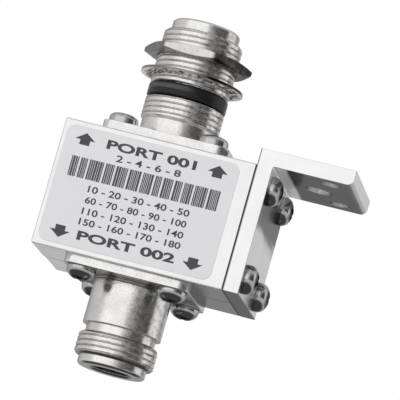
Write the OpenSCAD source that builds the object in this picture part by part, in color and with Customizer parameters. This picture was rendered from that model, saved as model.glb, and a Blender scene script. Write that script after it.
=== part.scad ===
// Coax lightning arrestor: a two-piece aluminium housing with a flanged coaxial jack at each end,
// a bulkhead nut, lock washer and seal on the antenna jack, and an angle bracket on one side.
// Inside are a blocking capacitor in the signal path and a gas tube from it to the housing.
// Millimetres. +Z runs along the jacks towards the antenna end, -Y faces the label and +X the bracket.
// The origin is the centre of the equipment jack's open rim.

/* [Housing] */
// Width between the outer side faces
body_w = 38.5; // [36.5:0.5:44]
// Depth from the front face to the rear face
body_d = 28; // [27:0.5:34]
// Height between the two jack flanges
body_h = 25.4; // [24:0.1:32]
// Thickness of the side walls
side_wall = 7.5; // [6.5:0.5:8.5]
// Thickness of the walls that carry the jacks
end_wall = 5.2; // [4.8:0.2:6]
// Thickness of the front and rear walls
face_wall = 3; // [2:0.5:3.5]
// Chamfer along the outer edges
edge_chamfer = 0.2; // [0.1:0.05:0.6]
// Chamfer along the seam between the two halves
seam_chamfer = 0.12; // [0.05:0.01:0.2]
// How far the left side of the rear half stands back from the front half
rear_inset = 0.3; // [0:0.1:0.6]

/* [Jacks] */
// Side of the square flanges
flange_size = 25.4; // [24.5:0.1:27]
// Radius of the flange corners
flange_corner = 2.6; // [1:0.1:3.5]
// Distance between flange screws along each side
flange_pitch = 18.3; // [17.6:0.1:18.6]
// Thickness of the antenna flange
antenna_flange_t = 1.9; // [1.6:0.1:3]
// Thickness of the equipment flange
equipment_flange_t = 1.7; // [1.4:0.1:3]
// Diameter over the coupling thread
thread_d = 15.88; // [15.6:0.02:16.2]
// Chamfer at each end of a thread
thread_lead = 0.5; // [0.2:0.1:0.6]
// Diameter of the plain pilot at each rim
pilot_d = 13.6; // [13:0.1:14.4]
// Chamfer on the outer edge of each rim
rim_chamfer = 0.4; // [0.2:0.1:0.8]
// Diameter of the socket mouth
mouth_d = 8.12; // [8:0.02:8.6]
// Depth of the socket mouth
mouth_depth = 9.1; // [8:0.1:9.6]
// Chamfer at the socket mouth
mouth_chamfer = 0.35; // [0.1:0.05:0.5]
// Diameter of the insulators
insulator_d = 7; // [6.4:0.1:7.4]
// Diameter of the centre contacts
contact_d = 3.04; // [2.8:0.02:3.4]
// Diameter of the hole in each contact's tip
contact_hole_d = 1.66; // [1.4:0.02:1.8]
// Depth of that hole
contact_hole_depth = 5; // [4:0.1:6]
// Distance from a rim down to the contact's tip
contact_recess = 4.4; // [4.2:0.1:5]
// Width of the slots in a contact's tip
contact_slot = 0.3; // [0.2:0.05:0.4]

/* [Antenna barrel] */
// Height of the collar on the flange
antenna_collar_h = 0.8; // [0.5:0.1:2]
// Diameter of that collar
antenna_collar_d = 16.2; // [15.6:0.1:17]
// Height of the neck above the collar
antenna_neck_h = 2.9; // [1:0.1:4]
// Diameter of that neck
antenna_neck_d = 15; // [14:0.1:15.4]
// Height of the thread below the seal
lower_thread_h = 4.85; // [4:0.05:9]
// Height of the thread above the seal
upper_thread_h = 11.25; // [10.8:0.05:14]
// Height of the pilot at the antenna rim
antenna_pilot_h = 2.25; // [1.5:0.05:4]

/* [Equipment barrel] */
// Height of the collar below the flange
equipment_collar_h = 0.5; // [0.3:0.1:3]
// Diameter of that collar
equipment_collar_d = 15.2; // [14.6:0.1:16]
// Height of the smooth barrel
barrel_h = 8.6; // [6:0.1:10]
// Diameter of the smooth barrel
barrel_d = 15.7; // [15:0.1:16.2]
// Height of the neck between barrel and thread
equipment_neck_h = 1.7; // [1:0.1:3]
// Diameter of that neck
equipment_neck_d = 13.9; // [13.4:0.1:15]
// Height of the coupling thread
equipment_thread_h = 4.5; // [2.6:0.1:6]
// Height of the pilot at the equipment rim
equipment_pilot_h = 1.9; // [1:0.1:4]

/* [Bulkhead set] */
// Height of the seal ring
seal_h = 2.4; // [1.8:0.1:2.6]
// Outer diameter of the seal ring
seal_d = 16; // [15.9:0.1:17]
// Radial width of the seal ring
seal_w = 2; // [1.4:0.1:2.4]
// Corner radius of the seal ring
seal_corner = 0.5; // [0.3:0.1:0.7]
// Space between the seal and the lock washer's rim
washer_lift = 1.95; // [0.5:0.05:2.2]
// Radial play between the thread and the lock washer
washer_play = 0.16; // [0.1:0.02:0.3]
// Radial width of the lock washer's rim
washer_ring_w = 1.1; // [0.8:0.1:1.4]
// Thickness of the lock washer's sheet
washer_t = 0.5; // [0.4:0.1:1]
// Diameter over the lock washer's rim
washer_d = 20.6; // [20:0.1:22]
// Number of teeth inside the rim
washer_teeth = 16; // [10:1:17]
// Width of each tooth
tooth_w = 2.1; // [1.6:0.1:2.4]
// Twist of each tooth out of the rim's plane
tooth_twist = 18; // [8:1:22]
// Width of the nut across its flats
nut_flats = 19.05; // [18.5:0.05:21]
// Thickness of the nut
nut_t = 2; // [1.6:0.1:3]
// Space between the lock washer's teeth and the nut
nut_gap = 2.9; // [2.8:0.1:3.2]
// Angle of the nut's corner chamfers
nut_chamfer_angle = 20; // [15:1:30]
// How far the nut's round faces stand in from its flats
nut_face_inset = 0.15; // [0.1:0.05:0.4]

/* [Bracket] */
// Thickness of the angle
bracket_t = 3.1; // [2:0.1:4]
// Length of the leg, from the housing's side to its tip
leg_length = 19; // [17:0.5:26]
// Height of the leg's top above the housing
leg_rise = 3.25; // [3.2:0.05:8]
// Radius of the leg's lower edge at its tip
leg_tip_radius = 1.3; // [0.5:0.1:1.8]
// Radius of the angle's inner corner
angle_fillet = 0.4; // [0.2:0.1:1]
// Distance of the two fixing holes from the leg's tip
fixing_edge = 4.9; // [4:0.05:7]
// Distance between the two fixing holes
fixing_pitch = 19; // [12:0.5:20]
// Diameter of the fixing holes
fixing_d = 4.2; // [3:0.1:5]
// Distance of the centre hole from the leg's tip
stud_edge = 8.25; // [7:0.05:10]
// Diameter of the centre hole
stud_d = 5.3; // [4:0.1:6]
// Distance between the bracket screws from front to rear
bracket_pitch_y = 18.3; // [16:0.1:20]
// Distance between the bracket screws from bottom to top
bracket_pitch_z = 17.8; // [16.6:0.1:18.4]

/* [Screws] */
// Diameter of the screws' threads
screw_d = 2.84; // [2.4:0.02:3]
// Diameter of the clearance holes
screw_clear_d = 3.2; // [3.1:0.1:3.6]
// Diameter of the pan heads
head_d = 5.8; // [5:0.1:6]
// Height of the pan heads
head_h = 2.6; // [2.2:0.1:3]
// Height of a head's straight edge
head_edge = 1.1; // [0.8:0.1:1.9]
// Length of the cross recess
recess_l = 3; // [2.4:0.1:3.4]
// Width of the cross recess
recess_w = 0.8; // [0.6:0.1:1]
// Depth of the cross recess
recess_depth = 1.2; // [0.8:0.1:1.5]
// How deep the flange screws go into the housing
flange_screw_depth = 4.2; // [3:0.1:4.4]
// How deep the bracket screws go into the housing
bracket_screw_depth = 5.4; // [4:0.1:6]

/* [Inside] */
// Diameter of the capacitor plates
plate_d = 10; // [8:0.5:14]
// Thickness of the capacitor plates
plate_t = 1.2; // [0.8:0.1:1.6]
// Thickness of the spacer between the plates
spacer_t = 0.5; // [0.3:0.1:0.8]
// How far the spacer reaches past the plates
spacer_margin = 0.8; // [0.4:0.1:1.5]
// Diameter of the hubs on the plates
hub_d = 5.2; // [4.6:0.1:6]
// Height of the equipment plate's hub
low_hub_h = 2.5; // [2:0.1:3]
// Space between the housing's floor and that hub
hub_floor_gap = 0.95; // [0.8:0.05:1.5]
// Diameter of the gas tube's end caps
tube_d = 6; // [5:0.1:6]
// Thickness of an end cap
tube_cap_t = 0.8; // [0.6:0.1:1]
// Length of the ceramic between the caps
tube_ceramic_l = 4.4; // [3.6:0.1:4.8]
// How far the ceramic stands in from the caps
tube_ceramic_step = 0.25; // [0.1:0.05:0.4]
// Space between the gas tube and the antenna plate below it
tube_plate_gap = 0.9; // [0.6:0.1:1.2]
// Thickness of the tube spring's strip
spring_t = 0.3; // [0.2:0.05:0.4]
// Width of the tube spring's strip
spring_w = 4; // [2:0.5:6]
// Height of the tube spring where it stands on the wall
spring_span = 7; // [5:0.5:9]

/* [Label] */
// Width of the label
label_w = 34.8; // [26:0.2:35]
// Height of the label
label_h = 23.4; // [16:0.2:23.4]
// Corner radius of the label
label_corner = 1.8; // [0.4:0.1:3]
// Thickness of the label
label_t = 0.15; // [0.1:0.01:0.3]
// How far the label's middle lies to the left of the housing's middle
label_shift = 1; // [0:0.1:1.2]

/* [Hidden] */
$fn = 96;

// Overlap that keeps a cut clear of the face it starts from
eps = 0.1;
// Radial clearance of pieces that seat in one another
fit = 0.02;
// Radial clearance of the nut on its thread
nut_fit = 0.05;
// Radial clearance of the insulators in the housing's ports
port_fit = 0.05;

// Radii of the turned pieces
thread_r = thread_d / 2;
pilot_r = pilot_d / 2;
insulator_r = insulator_d / 2;
contact_r = contact_d / 2;
hub_r = hub_d / 2;
tube_r = tube_d / 2;
washer_bore_r = thread_r + washer_play;
groove_r = seal_d / 2 - seal_w - fit;

// Heights from the equipment rim upwards
equipment_barrel_h = equipment_collar_h + barrel_h + equipment_neck_h
  + equipment_thread_h + equipment_pilot_h;
body_z = equipment_barrel_h + equipment_flange_t;
body_top = body_z + body_h;
body_mid = body_z + body_h / 2;
antenna_base = body_top + antenna_flange_t;
seal_z = antenna_base + antenna_collar_h + antenna_neck_h + lower_thread_h;
groove_h = seal_h + 2 * fit;
thread_end = seal_z + groove_h + upper_thread_h;
antenna_rim = thread_end + antenna_pilot_h;

// The lock washer and the nut above the seal
washer_z = seal_z + groove_h + washer_lift;
washer_mid = washer_z + washer_t / 2;
tooth_half_h = (tooth_w * sin(tooth_twist) + washer_t * cos(tooth_twist)) / 2;
nut_z = washer_mid + tooth_half_h + nut_gap;
nut_corner_r = nut_flats / sqrt(3);

// The cavity inside the housing
cavity_w = body_w - 2 * side_wall;
cavity_d = body_d - 2 * face_wall;
cavity_h = body_h - 2 * end_wall;
cavity_z = body_z + end_wall;
cavity_top = cavity_z + cavity_h;

// The capacitor stack and the gas tube beside its upper hub
low_hub_z = cavity_z + hub_floor_gap;
equipment_plate_z = low_hub_z + low_hub_h;
spacer_z = equipment_plate_z + plate_t;
antenna_plate_z = spacer_z + spacer_t;
high_hub_z = antenna_plate_z + plate_t;
tube_z = high_hub_z + tube_plate_gap + tube_r;
high_hub_h = tube_z + tube_r - high_hub_z;
tube_l = tube_ceramic_l + 2 * tube_cap_t;
tube_end = hub_r + fit + tube_l;
spring_sag = cavity_w / 2 - tube_end - 2 * fit;
spring_r = (spring_span * spring_span / 4 + spring_sag * spring_sag) / (2 * spring_sag);

// The bracket beside the housing
bracket_x = body_w / 2;
bracket_top = body_top + leg_rise;
leg_tip = bracket_x + leg_length;

// Radius of the sphere that rounds a screw head
head_rise = head_h - head_edge;
head_dome_r = (head_d * head_d / 4 + head_rise * head_rise) / (2 * head_rise);

// Shapes that repeat

// Rectangle with round corners, centred
module rounded_rect(w, h, r) {
  square([w - 2 * r, h], center = true);
  square([w, h - 2 * r], center = true);
  for (x = [-1, 1], y = [-1, 1])
    translate([x * (w / 2 - r), y * (h / 2 - r)]) circle(r);
}

// Outline from left to right and from -d to 0, with chamfers c on the far edge and s on the edge at 0
module half_outline(left, right, d, c, s) {
  polygon([
    [left + c, -d], [right - c, -d], [right, c - d], [right, -s],
    [right - s, 0], [left + s, 0], [left, -s], [left, c - d]
  ]);
}

// Sum of the heights of the turned steps before step i
function height_below(steps, i) = i == 0 ? 0 : steps[i - 1][2] + height_below(steps, i - 1);

// Turned steps stacked along +Z, each given as [bottom radius, top radius, height]
module turned(steps) {
  for (i = [0 : len(steps) - 1])
    translate([0, 0, height_below(steps, i)])
      cylinder(r1 = steps[i][0], r2 = steps[i][1], h = steps[i][2]);
}

// Places at the four corners of a rectangle
module at_corners(x_pitch, y_pitch) {
  for (x = [-1, 1], y = [-1, 1])
    translate([x * x_pitch / 2, y * y_pitch / 2, 0]) children();
}

// Pan-head screw with a cross recess: head above z = 0, shank below
module pan_screw(shank_l) {
  difference() {
    intersection() {
      cylinder(d = head_d, h = head_h);
      translate([0, 0, head_h - head_dome_r]) sphere(head_dome_r);
    }
    for (a = [0, 90])
      rotate(a)
        translate([-recess_l / 2, -recess_w / 2, head_h - recess_depth])
          cube([recess_l, recess_w, recess_depth + eps]);
  }
  translate([0, 0, -shank_l]) cylinder(d = screw_d, h = shank_l);
}

// Square flange with its four screw holes, from z = 0 up
module flange(t) {
  difference() {
    linear_extrude(t) rounded_rect(flange_size, flange_size, flange_corner);
    translate([0, 0, -eps])
      at_corners(flange_pitch, flange_pitch) cylinder(d = screw_clear_d, h = t + 2 * eps);
  }
}

// Flange and barrel turned from one piece, flange face at z = 0, with the socket in its far end
module jack(flange_t, steps) {
  total = flange_t + height_below(steps, len(steps));
  difference() {
    union() {
      flange(flange_t);
      translate([0, 0, flange_t]) turned(steps);
    }
    translate([0, 0, -eps]) cylinder(r = insulator_r + fit, h = total + 2 * eps);
    translate([0, 0, total - mouth_depth]) cylinder(d = mouth_d, h = mouth_depth + eps);
    translate([0, 0, total - mouth_chamfer])
      cylinder(d1 = mouth_d, d2 = mouth_d + 2 * mouth_chamfer, h = mouth_chamfer + fit);
  }
}

// Steps of a coupling thread with a chamfer at each end
function thread_steps(h) = [
  [thread_r - thread_lead, thread_r, thread_lead],
  [thread_r, thread_r, h - 2 * thread_lead],
  [thread_r, thread_r - thread_lead, thread_lead]
];

// Steps of the plain pilot behind a rim
function pilot_steps(h) = [
  [pilot_r, pilot_r, h - rim_chamfer],
  [pilot_r, pilot_r - rim_chamfer, rim_chamfer]
];

// Centre contact from z = 0 to its slotted tip
module contact(length) {
  difference() {
    cylinder(r = contact_r, h = length);
    translate([0, 0, length - contact_hole_depth])
      cylinder(d = contact_hole_d, h = contact_hole_depth + eps);
    for (a = [45, 135])
      rotate(a)
        translate([-contact_d, -contact_slot / 2, length - contact_hole_depth])
          cube([2 * contact_d, contact_slot, contact_hole_depth + eps]);
  }
}

// Insulator from z = 0, with its hole for the contact
module insulator(length) {
  difference() {
    cylinder(r = insulator_r, h = length);
    translate([0, 0, -eps]) cylinder(r = contact_r + fit, h = length + 2 * eps);
  }
}

// Capacitor plate from z = 0 up with a hub above it, bored for the contact
module plate(hub_h) {
  difference() {
    union() {
      cylinder(d = plate_d, h = plate_t);
      translate([0, 0, plate_t]) cylinder(r = hub_r, h = hub_h);
    }
    translate([0, 0, plate_t]) cylinder(r = contact_r + fit, h = hub_h + eps);
  }
}

// Half of the housing, on the -Y side of the seam
module half_shell(inset) {
  left = inset - body_w / 2;
  right = body_w / 2;
  difference() {
    translate([0, 0, body_mid]) intersection() {
      linear_extrude(body_h, center = true)
        half_outline(left, right, body_d / 2, edge_chamfer, seam_chamfer);
      rotate([90, 0, 90])
        linear_extrude(body_w, center = true)
          half_outline_side();
      rotate([90, 0, 0])
        linear_extrude(body_d, center = true)
          chamfered_front(left, right);
    }
    translate([-cavity_w / 2, -cavity_d / 2, cavity_z])
      cube([cavity_w, cavity_d / 2 + eps, cavity_h]);
    for (z = [body_z - eps, cavity_top - eps])
      translate([0, 0, z]) cylinder(r = insulator_r + port_fit, h = end_wall + 2 * eps);
    for (x = [-1, 1], z = [body_z - eps, body_top - flange_screw_depth])
      translate([x * flange_pitch / 2, -flange_pitch / 2, z])
        cylinder(d = screw_d + 2 * fit, h = flange_screw_depth + eps);
    for (z = [-1, 1])
      translate([right - bracket_screw_depth, -bracket_pitch_y / 2, body_mid + z * bracket_pitch_z / 2])
        rotate([0, 90, 0]) cylinder(d = screw_d + 2 * fit, h = bracket_screw_depth + eps);
  }
}

// Side outline of half of the housing, in the plane of depth and height
module half_outline_side() {
  rotate(90) mirror([0, 1])
    half_outline(-body_h / 2, body_h / 2, body_d / 2, edge_chamfer, seam_chamfer);
}

// Front outline of the housing with chamfered corners
module chamfered_front(left, right) {
  c = edge_chamfer;
  h = body_h / 2;
  polygon([
    [left + c, -h], [right - c, -h], [right, c - h], [right, h - c],
    [right - c, h], [left + c, h], [left, h - c], [left, c - h]
  ]);
}

// Sub-parts

module front_housing() {
  color("gainsboro") half_shell(0);
}

module rear_housing() {
  color("lightgray") mirror([0, 1, 0]) half_shell(rear_inset);
}

module antenna_jack() {
  steps = concat(
    [[antenna_collar_d / 2, antenna_collar_d / 2, antenna_collar_h],
     [antenna_neck_d / 2, antenna_neck_d / 2, antenna_neck_h]],
    thread_steps(lower_thread_h),
    [[groove_r, groove_r, groove_h]],
    thread_steps(upper_thread_h),
    pilot_steps(antenna_pilot_h)
  );
  color("silver") translate([0, 0, body_top]) jack(antenna_flange_t, steps);
}

module equipment_jack() {
  steps = concat(
    [[equipment_collar_d / 2, equipment_collar_d / 2, equipment_collar_h],
     [barrel_d / 2, barrel_d / 2, barrel_h],
     [equipment_neck_d / 2, equipment_neck_d / 2, equipment_neck_h]],
    thread_steps(equipment_thread_h),
    pilot_steps(equipment_pilot_h)
  );
  color("silver") translate([0, 0, body_z]) mirror([0, 0, 1]) jack(equipment_flange_t, steps);
}

module antenna_insulator() {
  color("white") translate([0, 0, cavity_top]) insulator(antenna_rim - mouth_depth - cavity_top);
}

module equipment_insulator() {
  color("white") translate([0, 0, mouth_depth]) insulator(cavity_z - mouth_depth);
}

module antenna_contact() {
  color("gold") translate([0, 0, high_hub_z + fit])
    contact(antenna_rim - contact_recess - high_hub_z - fit);
}

module equipment_contact() {
  color("gold") translate([0, 0, equipment_plate_z - fit]) mirror([0, 0, 1])
    contact(equipment_plate_z - fit - contact_recess);
}

module antenna_flange_screws() {
  color("slategray") translate([0, 0, antenna_base])
    at_corners(flange_pitch, flange_pitch) pan_screw(antenna_flange_t + flange_screw_depth - fit);
}

module equipment_flange_screws() {
  color("slategray") translate([0, 0, equipment_barrel_h]) mirror([0, 0, 1])
    at_corners(flange_pitch, flange_pitch) pan_screw(equipment_flange_t + flange_screw_depth - fit);
}

module seal_ring() {
  color([0.1, 0.1, 0.1]) translate([0, 0, seal_z + groove_h / 2])
    rotate_extrude()
      translate([(seal_d - seal_w) / 2, 0]) rounded_rect(seal_w, seal_h, seal_corner);
}

module lock_washer() {
  rim_in_r = washer_d / 2 - washer_ring_w;
  tooth_root = rim_in_r + washer_ring_w / 4;
  tooth_tip = washer_bore_r - washer_play;
  tooth_l = tooth_root - tooth_tip;
  cut_h = 2 * tooth_half_h + 2 * eps;
  color("darkgray") difference() {
    union() {
      translate([0, 0, washer_z]) difference() {
        cylinder(d = washer_d, h = washer_t);
        translate([0, 0, -eps]) cylinder(r = rim_in_r, h = washer_t + 2 * eps);
      }
      for (i = [0 : washer_teeth - 1])
        rotate(i * 360 / washer_teeth)
          translate([tooth_tip + tooth_l / 2, 0, washer_mid])
            rotate([tooth_twist, 0, 0]) cube([tooth_l, tooth_w, washer_t], center = true);
    }
    translate([0, 0, washer_mid - cut_h / 2]) cylinder(r = washer_bore_r, h = cut_h);
  }
}

module bulkhead_nut() {
  face_r = nut_flats / 2 - nut_face_inset;
  cone_r = face_r + nut_t / 2 / tan(nut_chamfer_angle);
  color("darkgray") translate([0, 0, nut_z]) difference() {
    intersection() {
      cylinder(r = nut_corner_r, h = nut_t, $fn = 6);
      turned([[face_r, cone_r, nut_t / 2], [cone_r, face_r, nut_t / 2]]);
    }
    translate([0, 0, -eps]) cylinder(r = thread_r + nut_fit, h = nut_t + 2 * eps);
  }
}

// Outline of the angle, seen from the front, with its corner at the top left
module angle_outline() {
  r = leg_tip_radius;
  leg_z = bracket_top - bracket_t;
  inner_x = bracket_x + bracket_t;
  translate([bracket_x, body_z]) square([bracket_t, bracket_top - body_z]);
  translate([bracket_x, leg_z]) square([leg_length - r, bracket_t]);
  translate([bracket_x, leg_z + r]) square([leg_length, bracket_t - r]);
  translate([leg_tip - r, leg_z + r]) circle(r);
  translate([inner_x, leg_z - angle_fillet]) difference() {
    square(angle_fillet);
    translate([angle_fillet, 0]) circle(angle_fillet);
  }
}

module bracket() {
  color("whitesmoke") difference() {
    rotate([90, 0, 0]) linear_extrude(body_d, center = true) angle_outline();
    for (y = [-1, 1])
      translate([leg_tip - fixing_edge, y * fixing_pitch / 2, bracket_top - bracket_t - eps])
        cylinder(d = fixing_d, h = bracket_t + 2 * eps);
    translate([leg_tip - stud_edge, 0, bracket_top - bracket_t - eps])
      cylinder(d = stud_d, h = bracket_t + 2 * eps);
    translate([bracket_x - eps, 0, body_mid]) rotate([0, 90, 0])
      at_corners(bracket_pitch_z, bracket_pitch_y) cylinder(d = screw_clear_d, h = bracket_t + 2 * eps);
  }
}

module bracket_screws() {
  color("slategray") translate([bracket_x + bracket_t, 0, body_mid]) rotate([0, 90, 0])
    at_corners(bracket_pitch_z, bracket_pitch_y) pan_screw(bracket_t + bracket_screw_depth - fit);
}

module label() {
  color("lightgray") translate([-label_shift, -body_d / 2, body_mid]) rotate([90, 0, 0])
    linear_extrude(label_t) rounded_rect(label_w, label_h, label_corner);
}

module antenna_plate() {
  color("goldenrod") translate([0, 0, antenna_plate_z]) plate(high_hub_h);
}

module equipment_plate() {
  color("goldenrod") translate([0, 0, spacer_z]) mirror([0, 0, 1]) plate(low_hub_h);
}

module plate_spacer() {
  color("white") translate([0, 0, spacer_z]) cylinder(d = plate_d + 2 * spacer_margin, h = spacer_t);
}

// Places a piece along the gas tube, which runs from the upper hub towards the left wall
module along_tube(distance) {
  translate([-hub_r - fit - distance, 0, tube_z]) rotate([0, -90, 0]) children();
}

module gas_tube() {
  color("ivory") along_tube(tube_cap_t)
    cylinder(r = tube_r - tube_ceramic_step, h = tube_ceramic_l);
}

module gas_tube_caps() {
  color("silver") for (x = [0, tube_l - tube_cap_t])
    along_tube(x) cylinder(r = tube_r, h = tube_cap_t);
}

module tube_spring() {
  wall_x = fit - cavity_w / 2;
  centre_x = wall_x + spring_sag - spring_r;
  color("peru") translate([0, 0, tube_z]) rotate([90, 0, 0])
    linear_extrude(spring_w, center = true) intersection() {
      translate([centre_x, 0]) difference() {
        circle(spring_r);
        circle(spring_r - spring_t);
      }
      translate([wall_x, -2 * spring_r]) square([spring_sag, 4 * spring_r]);
    }
}

front_housing();
rear_housing();
antenna_jack();
equipment_jack();
antenna_insulator();
equipment_insulator();
antenna_contact();
equipment_contact();
antenna_flange_screws();
equipment_flange_screws();
seal_ring();
lock_washer();
bulkhead_nut();
bracket();
bracket_screws();
label();
antenna_plate();
equipment_plate();
plate_spacer();
gas_tube();
gas_tube_caps();
tube_spring();
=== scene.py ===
"""Coax lightning arrestor: its surfaces, finishes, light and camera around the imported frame.

Lengths are millimetres until a mesh is made. +Z runs along the jacks to the antenna end, -Y faces the label
and +X the bracket. The origin is the centre of the equipment jack's open rim.
"""
import math

import bmesh
import bpy
import numpy as np
from mathutils import Matrix, Vector


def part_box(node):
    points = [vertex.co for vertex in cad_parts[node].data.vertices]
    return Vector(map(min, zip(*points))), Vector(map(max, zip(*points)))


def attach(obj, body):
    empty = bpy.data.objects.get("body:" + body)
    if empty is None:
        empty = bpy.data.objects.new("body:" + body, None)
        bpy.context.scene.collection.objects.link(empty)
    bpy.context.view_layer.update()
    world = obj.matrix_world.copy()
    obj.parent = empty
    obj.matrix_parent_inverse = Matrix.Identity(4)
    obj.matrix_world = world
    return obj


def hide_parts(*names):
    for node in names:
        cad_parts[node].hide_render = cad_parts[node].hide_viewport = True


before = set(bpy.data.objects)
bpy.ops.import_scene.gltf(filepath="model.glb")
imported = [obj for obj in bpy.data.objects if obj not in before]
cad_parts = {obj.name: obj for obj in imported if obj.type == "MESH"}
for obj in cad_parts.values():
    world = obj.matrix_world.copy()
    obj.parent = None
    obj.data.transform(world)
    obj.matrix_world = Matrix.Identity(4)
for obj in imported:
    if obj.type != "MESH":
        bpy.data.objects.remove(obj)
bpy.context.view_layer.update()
scene = bpy.context.scene
MM = 0.001
TURN = 2 * math.pi


def node_box(node):
    """Lowest and highest corners of a CAD node, in millimetres."""
    return [np.array(corner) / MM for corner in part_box(node)]


# Places read from the frame
ANTENNA_LOW, ANTENNA_HIGH = node_box("antenna_jack")
BRACKET_LOW, BRACKET_HIGH = node_box("bracket")
LABEL_LOW, LABEL_HIGH = node_box("label")
NUT_LOW, NUT_HIGH = node_box("bulkhead_nut")
SEAL_LOW, SEAL_HIGH = node_box("seal_ring")
WASHER_LOW, WASHER_HIGH = node_box("lock_washer")
BODY_TOP = ANTENNA_LOW[2]
BODY_BASE = node_box("equipment_jack")[1][2]
BODY_MID = (BODY_TOP + BODY_BASE) / 2
FLANGE_HALF = ANTENNA_HIGH[0]
ANTENNA_RIM = ANTENNA_HIGH[2]
BRACKET_T = 3.1
BRACKET_SEAT = BRACKET_LOW[0]
BRACKET_FACE = BRACKET_SEAT + BRACKET_T
BRACKET_TIP = BRACKET_HIGH[0]
LEG_UNDER = BRACKET_HIGH[2] - BRACKET_T

# Turned jacks
FLANGE_CORNER = 2.6
ANTENNA_FLANGE_T = 1.9
EQUIPMENT_FLANGE_T = 1.7
ANTENNA_SEAT = BODY_TOP + ANTENNA_FLANGE_T
EQUIPMENT_SEAT = BODY_BASE - EQUIPMENT_FLANGE_T
THREAD_R = 7.94
THREAD_LEAD = 0.5
THREAD_PITCH = 25.4 / 24
THREAD_DEPTH = 0.34
CREST_SHARE = 0.6
PILOT_R = 6.8
RIM_CHAMFER = 0.4
MOUTH_R = 4.06
MOUTH_CHAMFER = 0.35
MOUTH_DEPTH = 9.1
BORE_R = 3.52
OUTSIDE_R = 5.5
EQUIPMENT_PILOT = 1.9
ANTENNA_PILOT = ANTENNA_RIM - 2.25
COLLAR_GROOVE = BODY_BASE - 1.98
AROUND_JACK = 192
ROWS_PER_PITCH = 18

# Bulkhead set
NUT_FLATS = 19.05
NUT_CHAMFER = math.radians(20)
NUT_FACE_INSET = 0.15
NUT_ENTRY = 0.3
NUT_PLAY = 0.05
AROUND_NUT = 240
WASHER_BORE_R = 8.1
WASHER_RIM_W = 1.1
WASHER_T = 0.5
WASHER_TEETH = 16
WASHER_ROWS = 14
TOOTH_W = 2.1
TOOTH_TWIST = math.radians(18)
TOOTH_EASE = 0.4
PAST_TOOTH = 1.06
SEAL_W = 2.0

# Pan-head screws. A head is the height of its upright edge, its whole height and the exponent of its dome.
HEAD_R = 2.9
HEAD_EDGE = 0.1
FLAT_HEAD = (0.7, 2.2, 2.9)
ROUND_HEAD = (0.45, 2.5, 2.1)
DOME_ROWS = 44
SHANK_R = 1.42
SHANK_CHAMFER = 0.3
RECESS_L = 3.0
RECESS_W = 0.8
RECESS_DEPTH = 1.2
RECESS_TAPER = 0.5
RECESS_WALL = 0.16
RECESS_LIP = 0.3
# Reach and fade of the painted shade in and around a screw's recess
RECESS_SHADE_R = 2.1
RECESS_SHADE_FADE = 0.5
FLANGE_PITCH = 18.3
BRACKET_PITCH_Y = 18.3
BRACKET_PITCH_Z = 17.8
FLANGE_SCREW_DEPTH = 4.2
BRACKET_SCREW_DEPTH = 5.4
ANTENNA_TURNS = (0.4, 1.1, 0.2, 0.75)
EQUIPMENT_TURNS = (0.9, 0.3, 1.3, 0.1)
BRACKET_TURNS = (0.6, 1.0, 0.15, 1.25)
AROUND_SCREW = 96

# Soft edges, by the distance at which they leave a corner. The two shares limit it on a short side.
SOFT_EDGE = 0.1
SEAT_EDGE = 0.03
SEAL_EDGE = 0.25
BRACKET_EDGE = 0.1
HOUSING_EDGE = 0.12
CURVE_SHARE = 0.42
BESIDE_SHARE = 0.48
BESIDE_REACH = 1.4
FLAT_ANGLE = math.radians(0.5)
EDGE_ANGLE = math.radians(25)
WELD_GAP = 0.0001
CAD_WELD_GAP = 0.001


# Surfaces

def around(count):
    """Angles of the columns about an axis, one full turn without its repeated end."""
    return np.arange(count) * TURN / count


def soft_outline(corners, softness, steps=4):
    """Closed outlines [corner, column, 2] with each corner drawn as a quadratic curve: it leaves its two sides
    at the given distance and has the corner itself as its middle control point. One more point lies on each
    side just before the curve, so that the straight stretch keeps its own normal."""
    softness = np.broadcast_to(np.asarray(softness, float), len(corners))[:, None, None]

    def towards(neighbour, distance, most):
        side = neighbour - corners
        length = np.linalg.norm(side, axis=2, keepdims=True)
        return corners + side * np.minimum(distance, most * length) / np.maximum(length, 1e-9)

    before, after = np.roll(corners, 1, 0), np.roll(corners, -1, 0)
    start, end = towards(before, softness, CURVE_SHARE), towards(after, softness, CURVE_SHARE)
    share = np.linspace(0, 1, steps)[None, :, None, None]
    curve = (1 - share) ** 2 * start[:, None] + 2 * share * (1 - share) * corners[:, None]
    curve = curve + share ** 2 * end[:, None]
    wider = BESIDE_REACH * softness
    lead_in, lead_out = towards(before, wider, BESIDE_SHARE), towards(after, wider, BESIDE_SHARE)
    return np.concatenate([lead_in[:, None], curve, lead_out[:, None]], axis=1).reshape(-1, *corners.shape[1:])


def refine(outline, spans, reaches, spacing):
    """Closed outline with extra points, evenly placed and no further apart than the spacing, on the stretches
    that lie inside one of the height spans and between the two reaches from the axis."""
    after = np.roll(outline, -1, 0)
    reach, height = ((outline + after) / 2)[:, 0].T
    inside = np.any([(low <= height) & (height <= high) for low, high in spans], axis=0)
    inside = inside & (reaches[0] < reach) & (reach < reaches[1])
    length = np.linalg.norm((after - outline)[:, 0], axis=1)
    counts = np.maximum(np.where(inside, np.ceil(length / spacing), 1).astype(int), 1)
    rows = np.repeat(np.arange(len(outline)), counts)
    share = (np.arange(counts.sum()) - np.repeat(np.cumsum(counts) - counts, counts)) / counts[rows]
    return outline[rows] + share[:, None, None] * (after - outline)[rows]


def revolve(radius, height, angle):
    """Points [row, column, 3] at each radius and height, turned about Z by each column's angle."""
    return np.stack(np.broadcast_arrays(radius * np.cos(angle), radius * np.sin(angle), height), axis=2)


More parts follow.
